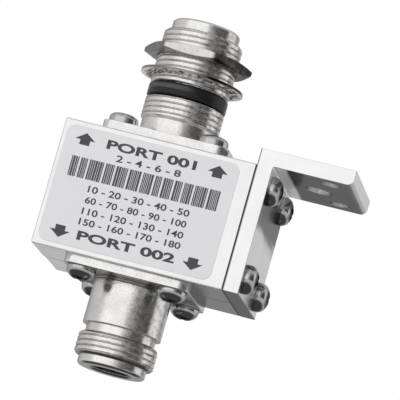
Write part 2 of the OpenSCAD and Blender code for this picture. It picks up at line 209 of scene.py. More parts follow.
def thread_radius(height, angle):
    """Radius of a right-hand thread: root + depth * s * s * (3 - 2 s). With the share of a turn, height / pitch
    - angle / turn, s runs from 0 in a root to 1 at the edge of a flat crest."""
    share = np.abs(2 * ((height / THREAD_PITCH - angle / TURN) % 1) - 1)
    share = np.minimum(share / (1 - CREST_SHARE), 1)
    return THREAD_R - THREAD_DEPTH * (1 - share * share * (3 - 2 * share))


def rounded_square(half, corner, angle):
    """Distance from the middle of a square with round corners to its edge, in each direction."""
    along = np.maximum(np.abs(np.cos(angle)), np.abs(np.sin(angle)))
    across = np.minimum(np.abs(np.cos(angle)), np.abs(np.sin(angle)))
    middle = half - corner
    reach = middle * (along + across)
    arc = reach + np.sqrt(np.maximum(reach ** 2 - 2 * middle ** 2 + corner ** 2, 0))
    return np.where(across / along * half <= middle, half / along, arc)


def merge_points(mesh, distance):
    """Merges the points of a mesh that lie closer than the distance in millimetres."""
    work = bmesh.new()
    work.from_mesh(mesh)
    bmesh.ops.remove_doubles(work, verts=work.verts, dist=distance * MM)
    work.to_mesh(mesh)
    work.free()


def grid_mesh(name, grids, closed_rows, sharp=40):
    """Mesh of quads over point grids [row, column, 3] in millimetres. Columns close on themselves, rows too if
    asked, and otherwise the first and last rows are poles whose points merge into one."""
    faces, first = [], 0
    for grid in grids:
        index = first + np.arange(grid[..., 0].size).reshape(grid.shape[:2])
        upper = np.roll(index, -1, 0) if closed_rows else index[1:]
        lower = index if closed_rows else index[:-1]
        quads = [lower, np.roll(lower, -1, 1), np.roll(upper, -1, 1), upper]
        faces.append(np.stack(quads, axis=2).reshape(-1, 4))
        first += index.size
    points = np.concatenate([grid.reshape(-1, 3) for grid in grids]) * MM
    mesh = bpy.data.meshes.new(name)
    mesh.from_pydata(points, [], np.concatenate(faces))
    if not closed_rows:
        merge_points(mesh, WELD_GAP)
    mesh.shade_smooth()
    mesh.set_sharp_from_angle(angle=math.radians(sharp))
    return mesh


def point_attribute(mesh, name, values):
    """Gives the points of a mesh a named value each, for its finish to read."""
    attribute = mesh.attributes.new(name, "FLOAT", "POINT")
    attribute.data.foreach_set("value", np.ravel(values).astype(np.float32))


def point_places(mesh):
    """Points [point, 3] of a mesh, in its own units."""
    flat = np.empty(len(mesh.vertices) * 3)
    mesh.vertices.foreach_get("co", flat)
    return flat.reshape(-1, 3)


def evaluated_mesh(data, name, *modifiers):
    """Mesh of a curve or another mesh after modifiers, each given as its kind and its settings."""
    holder = bpy.data.objects.new(name, data)
    scene.collection.objects.link(holder)
    for kind, settings in modifiers:
        modifier = holder.modifiers.new(kind.lower(), kind)
        for setting, value in settings.items():
            setattr(modifier, setting, value)
    mesh = bpy.data.meshes.new_from_object(holder.evaluated_get(bpy.context.evaluated_depsgraph_get()))
    bpy.data.objects.remove(holder)
    return mesh


def add_piece(mesh, material, body, slot, *nodes):
    """Puts a mesh in the scene on its body, in place of the CAD nodes that it stands for."""
    made = bpy.data.objects.new(mesh.name, mesh)
    scene.collection.objects.link(made)
    mesh.materials.clear()
    mesh.materials.append(material)
    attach(made, body)
    if nodes:
        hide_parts(*nodes)


# Turned steps of the two barrels, from flange to rim: first radius, last radius, length, is a thread

def plain_step(radius, length):
    """Cylinder."""
    return [(radius, radius, length, False)]


def thread_steps(length):
    """Thread with a cone at either end."""
    return [
        (THREAD_R - THREAD_LEAD, THREAD_R, THREAD_LEAD, True),
        (THREAD_R, THREAD_R, length - 2 * THREAD_LEAD, True),
        (THREAD_R, THREAD_R - THREAD_LEAD, THREAD_LEAD, True),
    ]


def pilot_steps(length):
    """Cylinder with a chamfered rim."""
    return [
        (PILOT_R, PILOT_R, length - RIM_CHAMFER, False),
        (PILOT_R, PILOT_R - RIM_CHAMFER, RIM_CHAMFER, False),
    ]


ANTENNA_STEPS = (
    plain_step(8.1, 0.8) + plain_step(7.5, 2.9) + thread_steps(4.85)
    + plain_step(5.98, 2.44) + thread_steps(11.25) + pilot_steps(ANTENNA_RIM - ANTENNA_PILOT)
)
EQUIPMENT_STEPS = (
    plain_step(7.6, 0.5) + plain_step(7.85, 8.6) + plain_step(6.95, 1.7)
    + thread_steps(4.5) + pilot_steps(EQUIPMENT_PILOT)
)


def jack_mesh(name, base, direction, flange_t, steps):
    """Flanged barrel: a closed outline of reach and height carried round the Z axis. Reaches past the collar
    are drawn out to the flange's rounded square, and on the threads the radius is the lesser of the outline's
    and the thread's. The point attribute groove is the depth below the outline, as a share of the thread's."""
    levels = flange_t + np.cumsum([0] + [step[2] for step in steps])
    barrel = [(step[end], levels[i + end]) for i, step in enumerate(steps) for end in (0, 1)]
    rim = levels[-1]
    corners = np.array(
        [(BORE_R, 0), (FLANGE_HALF, 0), (FLANGE_HALF, flange_t)] + barrel
        + [(MOUTH_R + MOUTH_CHAMFER, rim), (MOUTH_R, rim - MOUTH_CHAMFER),
           (MOUTH_R, rim - MOUTH_DEPTH), (BORE_R, rim - MOUTH_DEPTH)]
    )
    apart = np.linalg.norm(corners - np.roll(corners, 1, 0), axis=1) > 1e-6
    softness = np.where(corners[:, 1] == 0, SEAT_EDGE, SOFT_EDGE)
    outline = soft_outline(corners[apart][:, None, :], softness[apart])
    spans = [(levels[i], levels[i + 1]) for i, step in enumerate(steps) if step[3]]
    outline = refine(outline, spans, (OUTSIDE_R, FLANGE_HALF), THREAD_PITCH / ROWS_PER_PITCH)[::direction]
    reach, local = outline[:, :, 0], outline[:, :, 1]
    height = base + direction * local

    angle = around(AROUND_JACK)[None, :]
    collar = max(step[0] for step in steps) + SOFT_EDGE
    draw_out = (rounded_square(FLANGE_HALF, FLANGE_CORNER, angle) - collar) / (FLANGE_HALF - collar)
    radius = np.where(reach > collar, collar + (reach - collar) * draw_out, reach)
    threaded = np.any([(low <= local) & (local <= high) for low, high in spans], axis=0) & (reach > OUTSIDE_R)
    cut = np.where(threaded, np.minimum(radius, thread_radius(height, angle)), radius)
    mesh = grid_mesh(name, [revolve(cut, height, angle)], closed_rows=True, sharp=50)
    point_attribute(mesh, "groove", (radius - cut) / THREAD_DEPTH)
    return mesh


def nut_mesh():
    """Chamfered hexagon on Z with corners at +X and -X: at each angle the section runs out along the lower
    face, up a cone to the flat, which lies at flats / 2 / cos(angle from the flat's middle), up the flat, back
    over the upper cone and face, and down the threaded bore."""
    low, high = NUT_LOW[2], NUT_HIGH[2]
    bore_low, bore_high = low + NUT_ENTRY, high - NUT_ENTRY
    angle = around(AROUND_NUT)
    flat = NUT_FLATS / 2 / np.cos(angle % (TURN / 6) - TURN / 12)
    even = np.zeros_like(flat)
    face = even + NUT_FLATS / 2 - NUT_FACE_INSET
    bore = even + THREAD_R + NUT_PLAY
    rise = (flat - face) * math.tan(NUT_CHAMFER)
    reaches = [bore + NUT_ENTRY, face, flat, flat, face, bore + NUT_ENTRY, bore, bore]
    heights = [low + even, low + even, low + rise, high - rise, high + even, high + even,
               bore_high + even, bore_low + even]
    section = soft_outline(np.stack([np.stack(reaches), np.stack(heights)], axis=2), SOFT_EDGE / 2, steps=3)
    bore_r = THREAD_R + 2 * NUT_PLAY
    section = refine(section, [(bore_low, bore_high)], (0, bore_r), THREAD_PITCH / ROWS_PER_PITCH)
    radius, height = section[..., 0], section[..., 1]
    in_bore = (radius < bore_r) & (height > bore_low) & (height < bore_high)
    radius = np.where(in_bore, thread_radius(height, angle) + NUT_PLAY, radius)
    return grid_mesh("nut_chamfered", [revolve(radius, height, angle[None, :])], closed_rows=True)


def washer_mesh():
    """Lock washer: a flat rim with teeth on its inner edge. Each column's section runs along the top from the rim
    in to the tooth's tip, or to the rim's inner edge between teeth, and back below. The sheet rises by the
    distance across the tooth times tan(twist), eased in where the tooth leaves the rim."""
    rim_r = WASHER_HIGH[0]
    rim_in_r = rim_r - WASHER_RIM_W
    middle = (WASHER_LOW[2] + WASHER_HIGH[2]) / 2
    half_tooth = TOOTH_W / (rim_in_r + WASHER_BORE_R)
    half_cell = TURN / WASHER_TEETH / 2
    gap = np.linspace(PAST_TOOTH * half_tooth, half_cell, 4)[:-1]
    right = np.concatenate([np.linspace(0, half_tooth, 9), gap])
    cell = np.concatenate([[-half_cell], -right[:0:-1], right])
    angle = (around(WASHER_TEETH)[:, None] + cell[None, :]).ravel()
    across = np.tile(cell, WASHER_TEETH)
    in_tooth = np.abs(across) <= half_tooth + 1e-9
    inner = np.where(in_tooth, WASHER_BORE_R, rim_in_r)
    share = np.concatenate([np.linspace(0, 1, WASHER_ROWS), np.linspace(1, 0, WASHER_ROWS)])[:, None]
    side = np.repeat([1, -1], WASHER_ROWS)[:, None]
    radius = rim_r + share * (inner - rim_r)
    leave = np.clip((rim_in_r - radius) / TOOTH_EASE + 0.5, 0, 1)
    leave = np.where(in_tooth, leave * leave * (3 - 2 * leave), 0)
    height = middle + leave * radius * across * math.tan(TOOTH_TWIST) + side * WASHER_T / 2
    return grid_mesh("lock_washer_twisted", [revolve(radius, height, angle[None, :])], closed_rows=True, sharp=35)


def seal_mesh():
    """Rubber ring: a rounded rectangle carried round the Z axis."""
    inner = SEAL_HIGH[0] - SEAL_W
    corners = np.array([(inner, SEAL_LOW[2]), (SEAL_HIGH[0], SEAL_LOW[2]),
                        (SEAL_HIGH[0], SEAL_HIGH[2]), (inner, SEAL_HIGH[2])])
    outline = soft_outline(corners[:, None, :], SEAL_EDGE, steps=7)
    ring = revolve(outline[..., 0], outline[..., 1], around(AROUND_JACK)[None, :])
    return grid_mesh("seal_ring_soft", [ring], closed_rows=True, sharp=60)


def screw_grid(shank_l, head, turn):
    """Pan-head screw on Z with its head above 0: rows run from the shank's end up to the middle of the recess.
    The dome is half a superellipse (r / R)^n + (z / h)^n = 1 above an upright edge. The cross recess sinks it by
    depth * the greater of its two arms."""
    edge, head_h, exponent = head
    angle = around(AROUND_SCREW)[None, :]
    slope = np.linspace(TURN / 4, 0, DOME_ROWS)[:, None]
    top_r = HEAD_R * np.sin(slope) ** (2 / exponent)
    dome = edge + (head_h - edge) * np.cos(slope) ** (2 / exponent)
    x, y = top_r * np.cos(angle - turn), top_r * np.sin(angle - turn)

    def arm(along, across):
        taper = np.clip((RECESS_L / 2 - np.abs(along)) / RECESS_TAPER, 0, 1)
        wall = np.clip((RECESS_W / 2 - np.abs(across)) / RECESS_WALL + RECESS_LIP, 0, 1)
        return taper * wall

    recess = RECESS_DEPTH * np.maximum(arm(x, y), arm(y, x))
    side = np.array([(0, -shank_l), (SHANK_R - SHANK_CHAMFER, -shank_l), (SHANK_R, SHANK_CHAMFER - shank_l),
                     (SHANK_R, 0), (HEAD_R - HEAD_EDGE, 0), (HEAD_R, HEAD_EDGE)])
    radius = np.concatenate([side[:, :1], top_r])
    height = np.concatenate([side[:, 1:] + 0 * angle, dome - recess])
    return revolve(radius, height, angle)


def screws_mesh(name, places, axis, shank_l, head, turns):
    """Four screws with their heads along an axis, each turned by its own amount. The point attribute recess is 1
    at the middle of a head and falls to 0 around its recess; where it is high, the finish paints shade."""
    to_axis = np.array(Vector((0, 0, 1)).rotation_difference(Vector(axis)).to_matrix())
    grids = [screw_grid(shank_l, head, turn) @ to_axis.T + place for place, turn in zip(places, turns)]
    mesh = grid_mesh(name, grids, closed_rows=False, sharp=35)
    offset = point_places(mesh)[:, None, :] / MM - np.array(places)
    along = offset @ np.array(axis)
    from_axis = np.linalg.norm(offset - along[..., None] * np.array(axis), axis=2).min(axis=1)
    point_attribute(mesh, "recess", np.clip((RECESS_SHADE_R - from_axis) / RECESS_SHADE_FADE, 0, 1))
    return mesh


def corner_places(x_pitch, y_pitch):
    """Offsets of a rectangle's four corners from its middle."""
    return [(x * x_pitch / 2, y * y_pitch / 2) for x in (-1, 1) for y in (-1, 1)]


def softened_copy(name, node, width):
    """Copy of a CAD node with its loose triangles merged, its flat faces joined and its edges rounded."""
    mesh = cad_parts[node].data.copy()
    merge_points(mesh, CAD_WELD_GAP)
    work = bmesh.new()
    work.from_mesh(mesh)
    bmesh.ops.dissolve_limit(work, angle_limit=FLAT_ANGLE, verts=work.verts, edges=work.edges)
    work.to_mesh(mesh)
    work.free()
    mesh.shade_smooth()
    rounded = evaluated_mesh(
        mesh, name,
        ("BEVEL", {"width": width * MM, "segments": 2, "limit_method": "ANGLE", "angle_limit": EDGE_ANGLE}),
        ("WELD", {"merge_threshold": WELD_GAP * MM}),
        ("WEIGHTED_NORMAL", {"weight": 100}),
    )
    bpy.data.meshes.remove(mesh)
    rounded.name = name
    return rounded


# Print on the label

PRINT_T = 0.02
PRINT_FACE = LABEL_LOW[1]
LABEL_X = (LABEL_LOW[0] + LABEL_HIGH[0]) / 2
LABEL_Z = (LABEL_LOW[2] + LABEL_HIGH[2]) / 2
ARROW_X = 13.35
ARROW_Z = 9.2
ARROW_OUTLINE = np.array([(0, 1.3), (2.0, -0.1), (1.0, -0.1), (1.0, -1.1), (-1.0, -1.1), (-1.0, -0.1), (-2.0, -0.1)])
BARCODE_W = 29.9
BARCODE_H = 4.0
BARCODE_Z = 3.7
BAR_SEED = 11
BAR_GROUPS = 13
BARS_FEWEST, BARS_MOST = 4, 7
BAR_WIDTHS = [0.26, 0.36, 0.5]
BAR_SHARES = [0.45, 0.35, 0.2]
BAR_GAP = 0.13
GROUP_GAP = 0.5
# Words, width, height, height of the middle, boldness
WORD_ROWS = [
    ("PORT 001", 18.0, 1.85, 9.4, 0.035), ("PORT 002", 19.6, 1.85, -9.2, 0.035),
    ("2 - 4 - 6 - 8", 13.0, 1.35, 7.1, 0.02), ("10 - 20 - 30 - 40 - 50", 20.4, 1.35, 0.0, 0.02),
    ("60 - 70 - 80 - 90 - 100", 20.4, 1.35, -2.2, 0.02), ("110 - 120 - 130 - 140", 20.4, 1.35, -4.4, 0.02),
    ("150 - 160 - 170 - 180", 20.4, 1.35, -6.5, 0.02),
]


def prism_mesh(outline):
    """Flat shape on the label: an outline of (x, z) points about the label's middle, drawn forward."""
    count = len(outline)
    flat = np.stack([LABEL_X + outline[:, 0], np.full(count, PRINT_FACE), LABEL_Z + outline[:, 1]], axis=1)
    points = np.concatenate([flat, flat - np.array([0, PRINT_T, 0])])
    sides = [(i, (i + 1) % count, count + (i + 1) % count, count + i) for i in range(count)]
    mesh = bpy.data.meshes.new("print_shape")
    mesh.from_pydata(points * MM, [], [tuple(range(count))[::-1], tuple(range(count, 2 * count)), *sides])
    return mesh


def words_mesh(words, width, height, middle_z, bold):
    """Lettering on the label, fitted to its width, height and thickness."""
    curve = bpy.data.curves.new("print_words", "FONT")
    curve.body = words
    curve.offset = bold
    curve.extrude = 0.01
    curve.resolution_u = 4
    mesh = evaluated_mesh(curve, "print_words")
    flat = point_places(mesh)
    low, high = flat.min(axis=0), flat.max(axis=0)
    share = (flat - low) / (high - low) - np.array([0.5, 0.5, 0])
    placed = np.stack([LABEL_X + share[:, 0] * width, PRINT_FACE - share[:, 2] * PRINT_T,
                       LABEL_Z + middle_z + share[:, 1] * height], axis=1)
    mesh.vertices.foreach_set("co", (placed * MM).ravel())
    merge_points(mesh, WELD_GAP)
    return mesh


def rectangle(middle_x, middle_z, width, height):
    """Corners of an upright rectangle."""
    half = np.array([width, height]) / 2
    return np.array([middle_x, middle_z]) + half * np.array([(-1, -1), (1, -1), (1, 1), (-1, 1)])


def barcode_bars():
    """Upright bars of seeded widths, set close in groups that fill the band from left to right."""
    choice = np.random.default_rng(BAR_SEED)
    groups = choice.integers(BARS_FEWEST, BARS_MOST + 1, size=BAR_GROUPS)
    widths = choice.choice(BAR_WIDTHS, size=groups.sum(), p=BAR_SHARES)
    gaps = np.full(widths.size, BAR_GAP)
    gaps[np.cumsum(groups) - 1] = GROUP_GAP
    starts = np.cumsum(widths + gaps) - widths - gaps
    scale = BARCODE_W / (starts[-1] + widths[-1])
    middles = (starts + widths / 2) * scale - BARCODE_W / 2
    return [rectangle(x, BARCODE_Z, w * scale, BARCODE_H) for x, w in zip(middles, widths)]


def print_mesh():
    """All the print on the label in one mesh: arrows, bars, words and numbers."""
    shapes = [ARROW_OUTLINE * np.array([1, up]) + np.array([x, up * ARROW_Z])
              for x in (-ARROW_X, ARROW_X) for up in (1, -1)]
    shapes += barcode_bars()
    parts = [prism_mesh(shape) for shape in shapes]
    parts += [words_mesh(*row) for row in WORD_ROWS]
    work = bmesh.new()
    for part in parts:
        work.from_mesh(part)
    bmesh.ops.recalc_face_normals(work, faces=work.faces)
    mesh = bpy.data.meshes.new("label_print")
    work.to_mesh(mesh)
    work.free()
    return mesh


# Finishes

class Socket:
    """A shader value. Its operators add Math nodes, so that a finish reads as an expression."""

    def __init__(self, tree, socket):
        self.tree = tree
        self.socket = socket

    def math(self, operation, *terms):
        return self.tree.node("Math", {"operation": operation}, dict(enumerate(terms)))[0]

    def __add__(self, other):
        return self.math("ADD", self, other)

    def __sub__(self, other):
        return self.math("SUBTRACT", self, other)

    def __rsub__(self, other):
        return self.math("SUBTRACT", other, self)

    def __mul__(self, other):
        return self.math("MULTIPLY", self, other)

    def __truediv__(self, other):
        return self.math("DIVIDE", self, other)

    def __pow__(self, other):
        return self.math("POWER", self, other)

    __radd__ = __add__
    __rmul__ = __mul__

    def step(self, low, high):
        """0 below low, 1 above high and smooth between."""
        ramp = self.tree.node("MapRange", {"interpolation_type": "SMOOTHSTEP"},
                              {"Value": self, "From Min": low, "From Max": high})
        return ramp[0]

    def past(self, low, high):
        """Step of a coordinate between two places in millimetres."""
        return self.step(low * MM, high * MM)

    def near(self, place, reach):
        """1 where a coordinate lies at a place in millimetres, falling to 0 at the reach."""
        offset = self - place * MM
        return 1 - offset.math("ABSOLUTE", offset).past(0.4 * reach, reach)


class Tree:
    """Node tree of a material or of the world."""

    def __init__(self, owner):
        owner.use_nodes = True
        self.nodes, self.links = owner.node_tree.nodes, owner.node_tree.links
        self.nodes.clear()

    def node(self, kind, settings, sockets):
        """Adds a node, sets it up, fills its sockets with values or links, and returns its outputs."""
        made = self.nodes.new("ShaderNode" + kind)
        for name, value in settings.items():
            if name == "stops":
                self.set_stops(made.color_ramp, value)
            else:
                setattr(made, name, value)
        for name, value in sockets.items():
            if isinstance(value, Socket):
                self.links.new(value.socket, made.inputs[name])
            else:
                made.inputs[name].default_value = value
        return [Socket(self, output) for output in made.outputs]

    @staticmethod
    def set_stops(ramp, stops):
        """Gives a ramp its stops, each a position and a grey level."""
        while len(ramp.elements) < len(stops):
            ramp.elements.new(1)
        for element, (position, level) in zip(ramp.elements, stops):
            element.position = position
            element.color = (level, level, level, 1)

    def coordinates(self):
        """Object coordinates as a vector, in metres."""
        return self.node("TexCoord", {}, {})[3]

    def place(self):
        """Object coordinates as x, y and z, in metres."""
        return self.node("SeparateXYZ", {}, {0: self.coordinates()})

    def from_axis(self):
        """Distance from the Z axis, in metres."""
        x, y, _ = self.place()
        return (x * x + y * y) ** 0.5

    def attribute(self, name):
        """Value of a point attribute."""
        return self.node("Attribute", {"attribute_name": name}, {})[2]

    def noise(self, size, detail=3, stretch=(1, 1, 1), vector=None):
        """Noise from 0 to 1 whose features are about the given size in millimetres, drawn out by the stretch."""
        scale = tuple(1 / (size * MM * s) for s in stretch)
        vector = vector or self.coordinates()
        vector = self.node("Mapping", {}, {"Vector": vector, "Scale": scale})[0]
        return self.node("TexNoise", {}, {"Vector": vector, "Scale": 1, "Detail": detail})[0]

    def mix(self, share, first, second):
        """Colour between two colours."""
        return self.node("Mix", {"data_type": "RGBA"}, {0: share, 6: first, 7: second})[2]

    def bump(self, height, depth):
        """Normal of a surface raised by height times depth in millimetres."""
        return self.node("Bump", {}, {"Height": height, "Distance": depth * MM, "Strength": 1})[0]

    def finish(self, sockets, shade_mask=None, shade_tint=1.0):
        """Principled surface of the material. Where a shade mask is given, it mixes in a painted shade: a copy that
        keeps less of a grazing reflection.
        """
        surface = self.node("BsdfPrincipled", {}, sockets)[0]
        if shade_mask:
            shaded_copy = self.node("BsdfPrincipled", {}, {**sockets, "Specular Tint": grey(shade_tint)})[0]
            surface = self.node("MixShader", {}, {0: shade_mask, 1: surface, 2: shaded_copy})[0]
        self.node("OutputMaterial", {}, {"Surface": surface})


def new_material(name):
    """Material with an empty tree."""
    material = bpy.data.materials.new(name)
    return material, Tree(material)


def grey(level, warmth=0.0):
    """Opaque grey, warm above 0 and cool below."""
    return (level * (1 + warmth), level, level * (1 - warmth), 1)


# Places between which a finish changes; they bound its painted light and shade
BARREL_END = (8.1, 8.4)
BORE_END = (4.2, 4.5)
BARREL_SHADED_SIDE = (0.5, 3)
FRONT_END = (-13.95, -13.7)
SIDE_START, SIDE_END = 13.75, 13.95
SHADE_START = (-6, 12)
HIGH_SHADE_START = (33.5, 36.5)
HIGH_SHADE_WANDER = 5
CORNER_START = (LEG_UNDER - 4.5, LEG_UNDER - 3)
CORNER_END = (BRACKET_FACE + 2.2, BRACKET_FACE + 3)
LEG_ROOT = (BRACKET_FACE - 0.3, BRACKET_FACE)
LEG_TIP = (BRACKET_TIP - 0.3, BRACKET_TIP - 0.1)
LEG_SIDE = (LEG_UNDER + 0.3, LEG_UNDER + 0.5)
SIDE_SHADE_LEFT = (5, 6)
SIDE_SHADE_RIGHT = (4, 5)
WASHER_RIM_SHADE = (WASHER_HIGH[0] - 0.16, WASHER_HIGH[0] - 0.04)
SEAL_SHEEN = SEAL_HIGH[2] - 0.75


def turned_metal(name, light, dark, smooth, rough, warmth, root_darkness, edge_tint):
    """Plated, turned metal: fine tool lines round the axis, a faint orange peel, cloudy gloss, specks, a mottled
    painted shade on the barrels' bracket side, darker thread roots, and painted shade in the bore and at the
    steps. The tint is what it keeps of a grazing reflection."""
    material, tree = new_material(name)
    x, _, z = tree.place()
    radius = tree.from_axis()
    section = tree.node("CombineXYZ", {}, {0: radius, 1: z})[0]
    lines = tree.noise(0.14, 2, vector=section)
    cloud = tree.noise(3.0, 4)
    specks = tree.noise(0.35, 3).step(0.66, 0.74)
    plate = tree.mix(cloud.step(0.3, 0.75), grey(light, warmth), grey(dark, warmth))
    plate = tree.mix(tree.noise(0.3, 3).step(0.4, 0.7) * 0.4, plate, grey(dark * 0.75, warmth))
    plate = tree.mix(specks * 0.35, plate, grey(dark * 0.4, warmth))
    # Painted shade, mottled: the barrels darker on their +X side
    side_shade = tree.noise(1.0, 4).step(0.42, 0.68) * x.past(*BARREL_SHADED_SIDE) * (1 - radius.past(*BARREL_END))
    plate = tree.mix(side_shade * 0.45, plate, grey(dark * 0.25, warmth))
    # Painted shade: darker in the bore and at the barrels' steps
    in_bore = 1 - radius.past(*BORE_END)
    at_steps = z.near(BODY_TOP, 0.3) + z.near(COLLAR_GROOVE, 0.28)
    at_steps = at_steps + z.near(EQUIPMENT_PILOT, 0.2) + z.near(ANTENNA_PILOT, 0.16)
    # Darker in the thread's roots, by the root darkness
    in_roots = tree.attribute("groove").step(0.35, 1.0) * root_darkness
    shade_and_roots = in_roots * (0.35 + cloud) + in_bore * 0.5 + at_steps * (0.3 + cloud * 0.6)
    tree.finish({
        "Base Color": tree.mix(shade_and_roots, plate, grey(0.06, warmth)),
        "Metallic": 1.0,
        "Roughness": smooth + (rough - smooth) * cloud + specks * 0.15,
        "Specular Tint": grey(edge_tint),
        "Normal": tree.bump(lines * 0.2 + tree.noise(0.45, 3), 0.026),
    })
    return material


def milled_metal(name, light, dark, smooth, rough, stretch, seamed, edge_tint, shade_tint):
    """Satin aluminium: fine drawn lines along one direction, soft clouds, a few scratches, and dirt in the joints
    with the bracket and between the housing's halves, which are seamed. The tints are what it keeps of a grazing
    reflection. Painted shade keeps less of a grazing reflection beneath the housing, under the leg and high on the
    bracket's outer face. Painted light makes it less metallic, so paler, in the bracket's inner corner and along
    the housing's lower front edge."""
    material, tree = new_material(name)
    x, y, z = tree.place()
    lines = tree.noise(0.09, 3, stretch=stretch)
    cloud = tree.noise(6.0, 3)
    grain = tree.noise(0.25, 4)
    scratch = tree.noise(0.3, 1, stretch=(1, 1, 30)).step(0.72, 0.76)
    clean = tree.mix(cloud.step(0.25, 0.8) * 0.6 + grain * 0.4, grey(light), grey(dark))
    joints = x.near(BRACKET_SEAT, 0.3) * 0.9 + y.near(0, 0.2) * seamed

    inside = y.past(-SIDE_END, -SIDE_START) * (1 - y.past(SIDE_START, SIDE_END))
    outer_face = x.near(BRACKET_FACE, 0.3) * inside * (1 - z.past(*LEG_SIDE))
    underside = z.near(LEG_UNDER, 0.3) * inside * x.past(*LEG_ROOT) * (1 - x.past(*LEG_TIP))
    high_up, past_corner = z.past(*CORNER_START), x.past(*CORNER_END)
    # Painted shade high on the bracket's outer face, with a wandering lower edge
    wander = tree.noise(2.5, 3, stretch=(1, 6, 1)) * HIGH_SHADE_WANDER * MM
    high_face_shade = outer_face * (z + wander).past(*HIGH_SHADE_START) * (1 - high_up)
    # Painted shade beneath the housing, towards +X
    shade_beneath = z.near(BODY_BASE, 0.3) * x.past(*SHADE_START) * 0.9
    # Painted light: less metallic, so paler, in the bracket's inner corner
    corner = outer_face * high_up + underside * (1 - past_corner)
    # Painted light: less metallic, so paler, along the housing's lower front edge
    low_edge = z.near(BODY_BASE + 0.1, 0.28) * (1 - y.past(*FRONT_END)) * seamed
    tree.finish({
        "Base Color": tree.mix(joints * 0.85, clean, grey(0.02)),
        "Metallic": 1 - corner * 0.6 - low_edge * 0.8,
        "Roughness": smooth + (rough - smooth) * cloud + scratch * 0.08,
        "Specular Tint": grey(edge_tint),
        "Normal": tree.bump(lines + grain * 0.6, 0.006),
    # The shade mask: painted shade beneath the housing, under the leg beyond the corner and high on the outer face
    }, shade_beneath + underside * past_corner + high_face_shade, shade_tint)
    return material


def polished_steel(name, light, dark, smooth, rough, warmth=0.0, side_shade=(0.0, 0.0), rim_shade=0.0, grain=0.04,
                   edge_tint=1.0):
    """Bright steel of screws, nut and washer: clouded gloss, tumbled dimples, small dark stains, painted shade in
    and around a screw's recess, painted shade on the sides towards -X and +X, and painted shade on the washer's
    outer rim."""
    material, tree = new_material(name)
    x = tree.place()[0]
    cloud = tree.noise(1.6, 4)
    dimples = tree.noise(0.3, 3)
    stains = tree.noise(0.8, 4).step(0.6, 0.72)
    plate = tree.mix(cloud, grey(light, warmth), grey(dark, warmth))
    plate = tree.mix(stains * 0.5, plate, grey(dark * 0.5, warmth))
    # Painted shade on the sides towards -X and +X
    sides = (0 - x).past(*SIDE_SHADE_LEFT) * side_shade[0] + x.past(*SIDE_SHADE_RIGHT) * side_shade[1]
    # Painted shade along the washer's outer rim
    at_rim = tree.from_axis().past(*WASHER_RIM_SHADE) * rim_shade
    shaded_plate = tree.mix(sides * (0.8 + cloud * 0.4) + at_rim, plate, grey(0.04, warmth))
    tree.finish({
        # Painted shade in and around a screw's recess, from the point attribute recess
        "Base Color": tree.mix(tree.attribute("recess") * 0.85, shaded_plate, grey(0.03)),
        "Metallic": 1.0,
        "Roughness": smooth + (rough - smooth) * cloud,
        "Specular Tint": grey(edge_tint),
        "Normal": tree.bump(dimples, grain),
    })
    return material


def seal_rubber():
    """Black rubber: fine grain, uneven gloss, and a painted sheen of long pale streaks below its upper edge."""
    material, tree = new_material("seal_rubber")
    z = tree.place()[2]
    cloud = tree.noise(2.5, 3)
    # Painted sheen: long pale streaks below the seal's upper edge
    painted_sheen = z.near(SEAL_SHEEN, 0.6) * tree.noise(6.0, 1).step(0.42, 0.62)
    tree.finish({
        "Base Color": tree.mix(painted_sheen, tree.mix(cloud, grey(0.006), grey(0.012)), grey(0.07)),
        "Roughness": 0.26 + cloud * 0.2,
        "Specular IOR Level": 0.36,
        "Normal": tree.bump(tree.noise(0.12, 4), 0.01),
    })
    return material


def moulded(name, light, dark, roughness, grain_size, depth):
    """Plastic or ceramic: a fine grain and slightly uneven colour."""
    material, tree = new_material(name)
    grain = tree.noise(grain_size, 4)
    cloud = tree.noise(2.5, 3)
    tree.finish({
        "Base Color": tree.mix(cloud, light, dark),
        "Roughness": roughness + (cloud - 0.5) * 0.2,
        "Normal": tree.bump(grain, depth),
    })
    return material


def label_film():
    """Pale printed film: faint mottling and a satin face."""
    material, tree = new_material("label_film")
    mottle = tree.noise(1.4, 4)
    cloud = tree.noise(9.0, 3)
    tree.finish({
        "Base Color": tree.mix(mottle * 0.5 + cloud * 0.5, (0.74, 0.74, 0.755, 1), (0.69, 0.69, 0.705, 1)),
        "Roughness": 0.42 + cloud * 0.16,
        "Normal": tree.bump(mottle, 0.006),
    })
    return material


def print_ink():
    """Dark grey ink, thinner in small specks."""
    material, tree = new_material("print_ink")
    thin = tree.noise(0.18, 3).step(0.55, 0.8)
    tree.finish({
        "Base Color": tree.mix(thin * 0.5, (0.055, 0.055, 0.06, 1), (0.16, 0.16, 0.165, 1)),
        "Roughness": 0.5 + thin * 0.1,
    })
    return material


def coloured_metal(name, light, dark, smooth, rough):
    """Gold, brass or bronze with cloudy gloss."""
    material, tree = new_material(name)
    cloud = tree.noise(1.2, 4)
    lines = tree.noise(0.1, 2, stretch=(1, 1, 0.3))
    tree.finish({
        "Base Color": tree.mix(cloud, light, dark),
        "Metallic": 1.0,
        "Roughness": smooth + (rough - smooth) * cloud,
        "Normal": tree.bump(lines, 0.003),
    })
    return material


nickel = turned_metal("nickel_plate", light=0.92, dark=0.81, smooth=0.12, rough=0.26, warmth=0.022, root_darkness=0.12,
                      edge_tint=0.55)
housing_metal = milled_metal("housing_aluminium", light=0.92, dark=0.86, smooth=0.18, rough=0.30,
                             stretch=(14, 1, 1), seamed=1, edge_tint=0.9, shade_tint=0.3)
bracket_metal = milled_metal("bracket_aluminium", light=0.93, dark=0.87, smooth=0.16, rough=0.26,
                             stretch=(1, 14, 1), seamed=0, edge_tint=0.6, shade_tint=0.15)
screw_steel = polished_steel("screw_steel", light=0.68, dark=0.48, smooth=0.05, rough=0.14, grain=0.012,
                             edge_tint=0.6)
